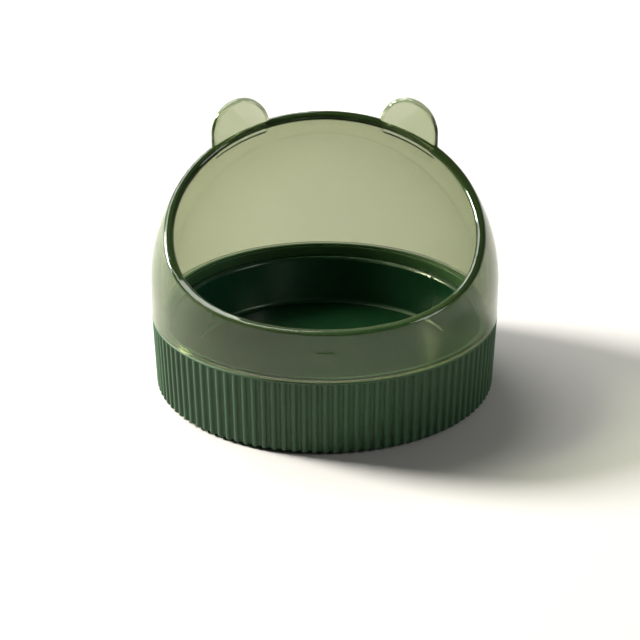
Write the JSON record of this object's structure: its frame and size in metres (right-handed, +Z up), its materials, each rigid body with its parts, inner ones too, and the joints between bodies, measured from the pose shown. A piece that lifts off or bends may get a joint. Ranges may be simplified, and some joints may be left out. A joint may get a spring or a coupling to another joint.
{
  "type": "hamster food bowl",
  "caption": "Round ribbed food bowl for a small pet, with a loose inner dish and a clear lift-off hood that has rounded ears and a slanted mouth.",
  "frame": {"origin": "on the floor under the middle of the base", "axes": "+Z up, the mouth of the hood faces -Y, +X to the right as seen from the mouth"},
  "size_m": [0.1, 0.1005, 0.0781],
  "materials": {
    "clear_green": "clear tinted, polished",
    "satin_green": "satin moulded",
    "gloss_green": "smooth moulded",
    "pad_rubber": "matt"
  },
  "bodies": {
    "base": {"base_shell": "satin_green", "foot_pad_1": "pad_rubber", "foot_pad_2": "pad_rubber", "foot_pad_3": "pad_rubber", "foot_pad_4": "pad_rubber"},
    "dish": {"dish": "gloss_green"},
    "hood": {"hood": "clear_green"}
  },
  "joints": [
    {"name": "hood_lift", "type": "slide", "parent": "base", "child": "hood", "axis": [0, 0, 1], "range_m": [0, 0.06]},
    {"name": "dish_lift", "type": "slide", "parent": "base", "child": "dish", "axis": [0, 0, 1], "range_m": [0, 0.02]}
  ]
}
